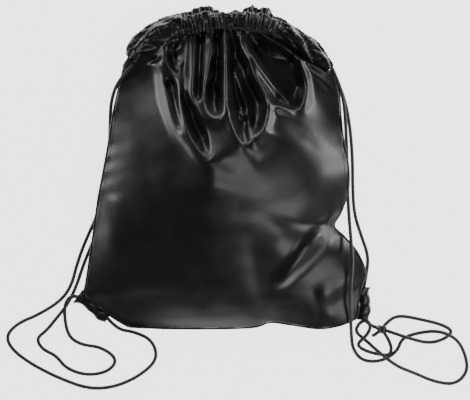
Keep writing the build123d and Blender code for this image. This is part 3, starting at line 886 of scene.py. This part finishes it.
def strip(name, line, width, height, node_name):
    """A folded seam allowance along a line, slightly puckered."""
    length = np.linalg.norm(np.diff(line, axis=0), axis=1).sum()
    path = even_line(line, int(length / 2))
    side, up = frames_along(path)[1:]
    angle = np.arange(STRIP_SIDES) * 2 * math.pi / STRIP_SIDES
    run = np.linspace(0, length, len(path))
    pucker = 1 + 0.16 * np.sin(run / 2.3 + np.sin(run / 9))
    cross = np.sign(np.cos(angle)) * np.abs(np.cos(angle)) ** 0.6
    lift = np.sign(np.sin(angle)) * np.abs(np.sin(angle)) ** 0.6
    verts = (path[:, None] + side[:, None] * (cross * width / 2)[None, :, None]
             + up[:, None] * (lift[None] * height / 2 * pucker[:, None])[..., None])
    verts[..., 2] += (SEAM_WAVE * np.sin(run / 6.1))[:, None]
    count = len(path)
    faces = grid_faces(count, STRIP_SIDES, wrap=True)
    faces.append(tuple(reversed(range(STRIP_SIDES))))
    faces.append(tuple(range((count - 1) * STRIP_SIDES, count * STRIP_SIDES)))
    u = np.broadcast_to(run[:, None] * MM, (count, STRIP_SIDES))
    w = np.broadcast_to(angle[None] * 0.002, (count, STRIP_SIDES))
    obj = mesh_object(name, verts.reshape(-1, 3), faces, np.dstack([u, w]).reshape(-1, 2))
    return set_up(obj, "bag", "coated_cloth", CLOTH, node_name)


between_panels = (front_points + back_points) / 2
side_rows = slice(0, np.searchsorted(ROWS, 0.985))       # the seams stop short of the channel
strip("left_seam", between_panels[side_rows, 0], 3.6, 2.6, "left_side_seam")
strip("right_seam", between_panels[side_rows, -1], 3.6, 2.6, "right_side_seam")
strip("bottom_edge", between_panels[0], 3.4, 3.4, "bottom_seam")


# ---------------------------------------------------------------- corner loops
LOOP_COUNT = 48
LOOP_RING = 28
LOOP_HALF_WIDTH = 7.2
LOOP_HALF_HEIGHT = 5.2
LOOP_THICKNESS = 0.6
LOOP_OVERHANG = 2


def corner_loop(name, node_name, start, end, seed):
    """A cloth loop at a bottom corner, scalloped by the stitches across it."""
    a, b = np.array([*start, LOOP_Z]), np.array([*end, LOOP_Z])
    along = (b - a) / np.linalg.norm(b - a)
    a, b = a - along * LOOP_OVERHANG, b + along * LOOP_OVERHANG
    run = np.linspace(0, 1, LOOP_COUNT)
    path = a + (b - a) * run[:, None]
    outward = np.array([along[1], -along[0], 0]) * (1 if seed else -1)
    length = np.linalg.norm(b - a)
    angle = np.arange(LOOP_RING) * 2 * math.pi / LOOP_RING
    scallop = 1 + 0.10 * np.cos(run * 2 * math.pi * 2.5 + seed) + 0.12 * (2 * run - 1) ** 4
    wide = LOOP_HALF_WIDTH * scallop + 2.2 * (1 - run) ** 7
    high = LOOP_HALF_HEIGHT * (1 + 0.08 * np.cos(run * 19 + seed))
    bend = 1.6 * np.sin(run * math.pi * 2 + seed)
    sideways = wide[:, None] * np.cos(angle)[None] + bend[:, None]
    upwards = high[:, None] * np.sin(angle)[None]
    points = (path[:, None] + outward * sideways[..., None]
              + np.array([0, 0, 1.0]) * upwards[..., None])
    points[..., 2] += 0.35 * np.sin(angle[None] * 3 + run[:, None] * 22 + seed)
    points[..., 2] = np.maximum(points[..., 2], 0.4)
    u = np.broadcast_to(run[:, None] * length * MM, (LOOP_COUNT, LOOP_RING))
    w = np.broadcast_to(angle[None] / (2 * math.pi) * 0.04, (LOOP_COUNT, LOOP_RING))
    obj = mesh_object(name, points.reshape(-1, 3), grid_faces(LOOP_COUNT, LOOP_RING, wrap=True),
                      np.dstack([u, w]).reshape(-1, 2))
    add_thickness(obj, LOOP_THICKNESS)
    return set_up(obj, "bag", "coated_cloth", CLOTH, node_name)


corner_loop("left_loop", "left_corner_loop", LEFT_INNER_ROUTE[-1][:2], LEFT_OUTER_ROUTE[-1][:2], 0)
corner_loop("right_loop", "right_corner_loop", RIGHT_OUTER_ROUTE[-1][:2], RIGHT_TIED_ROUTE[0][:2],
            1)


# ---------------------------------------------------------------- stitching
THREAD_SIDES = 6
THREAD_HALF_WIDTH = 0.32
THREAD_HALF_HEIGHT = 0.28
THREAD_RISE = 0.12           # the thread's middle over the cloth
CHANNEL_PITCH = 3.6
SIDE_PITCH = 3.4
# Along one stitch: place, and share of the thread's full thickness
STITCH_RINGS = ((0.0, 0.35), (0.2, 1.0), (0.8, 1.0), (1.0, 0.35))


def stitches(name, row, pitch, body, node_name):
    """Short thread stitches along a row of points on the cloth."""
    row = row + [0, 0, CLOTH_THICKNESS / 2]
    length = np.linalg.norm(np.diff(row, axis=0), axis=1).sum()
    count = int(length / pitch)
    holes = even_line(row, count * 2 + 1)
    up = np.array([0.0, 0.0, 1.0])
    verts, faces = [], []
    for start, end in zip(holes[:-1:2], holes[1::2]):
        along = end - start
        across = np.cross(up, along)
        across /= np.linalg.norm(across)
        base = len(verts)
        for t, size in STITCH_RINGS:
            for k in range(THREAD_SIDES):
                a = k * 2 * math.pi / THREAD_SIDES
                verts.append(start + along * t + across * math.cos(a) * THREAD_HALF_WIDTH * size
                             + up * (math.sin(a) * THREAD_HALF_HEIGHT * size + THREAD_RISE))
        rings = grid_faces(len(STITCH_RINGS), THREAD_SIDES, wrap=True)
        faces.extend(tuple(base + k for k in quad) for quad in rings)
        last = base + (len(STITCH_RINGS) - 1) * THREAD_SIDES
        faces.append(tuple(base + k for k in reversed(range(THREAD_SIDES))))
        faces.append(tuple(last + k for k in range(THREAD_SIDES)))
    obj = mesh_object(name, np.array(verts), faces)
    return set_up(obj, body, "sewing_thread", THREAD, node_name)


stitch_ring = int(HEM_RING * 0.40)
stitches("front_channel_stitches", front_hem_points[12:-12, stitch_ring], CHANNEL_PITCH,
         "mouth_front", "front_hem_stitching")
stitches("back_channel_stitches", back_hem_points[12:-12, stitch_ring], CHANNEL_PITCH, "bag",
         "back_hem_stitching")
stitched_rows = slice(2, np.searchsorted(ROWS, 0.93))
for side, column in (("left", 3), ("right", -4)):
    stitches(side + "_seam_stitches", front_points[stitched_rows, column], SIDE_PITCH, "bag",
             side + "_side_stitching")


# ---------------------------------------------------------------- small sewn details
finish_nodes(("left_corner_loop_stitching", "right_corner_loop_stitching",
              "left_front_bartack", "right_front_bartack"), THREAD)
